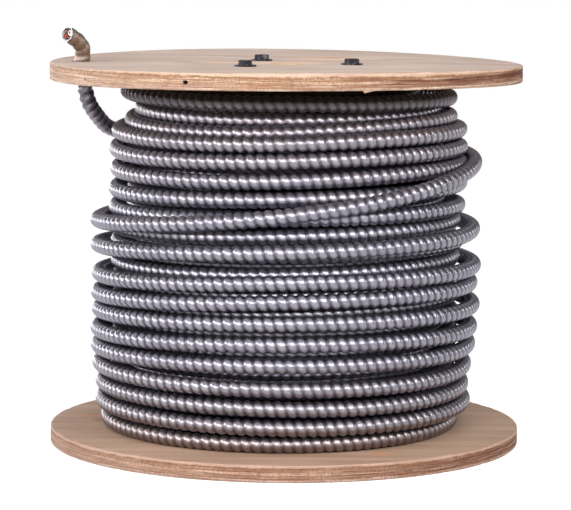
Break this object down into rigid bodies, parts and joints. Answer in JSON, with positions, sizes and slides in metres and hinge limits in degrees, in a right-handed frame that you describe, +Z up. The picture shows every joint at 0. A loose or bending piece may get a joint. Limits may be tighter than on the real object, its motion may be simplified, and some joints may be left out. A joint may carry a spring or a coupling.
{
  "type": "wound cable reel",
  "caption": "Plywood reel full of metal-clad electrical cable: round flanges bolted together through a hollow drum, with the cable's cut end brought up through the top flange.",
  "frame": {"origin": "on the reel's axis at the underside of the bottom flange, so the reel stands on z = 0", "axes": "+Z up along the reel's axis; -Y is the front; the cable's cut end comes up near the -X rim of the top flange"},
  "size_m": [0.4063, 0.4064, 0.3566],
  "materials": {
    "plywood": "bare sawn veneer, satin",
    "drum_fibre": "matte",
    "armour": "galvanised, bright",
    "wrap_film": "thin clear film",
    "insulation_black": "gloss",
    "insulation_red": "gloss",
    "insulation_white": "gloss",
    "insulation_green": "gloss",
    "copper": "bright drawn copper",
    "black_steel": "black oxide, satin",
    "plated_steel": "zinc plated"
  },
  "bodies": {
    "root": {"top_flange": "plywood", "bottom_flange": "plywood", "drum": "drum_fibre", "winding_lower": "armour", "winding_upper": "armour", "cable_tail": "armour", "tail_wrap": "wrap_film", "insulation_black": "insulation_black", "insulation_red": "insulation_red", "insulation_white": "insulation_white", "insulation_green": "insulation_green", "copper_black": "copper", "copper_red": "copper", "copper_white": "copper", "copper_green": "copper", "through_bolt_1": "black_steel", "bolt_washer_1": "black_steel", "tee_nut_1": "plated_steel", "through_bolt_2": "black_steel", "bolt_washer_2": "black_steel", "tee_nut_2": "plated_steel", "through_bolt_3": "black_steel", "bolt_washer_3": "black_steel", "tee_nut_3": "plated_steel"}
  },
  "joints": []
}
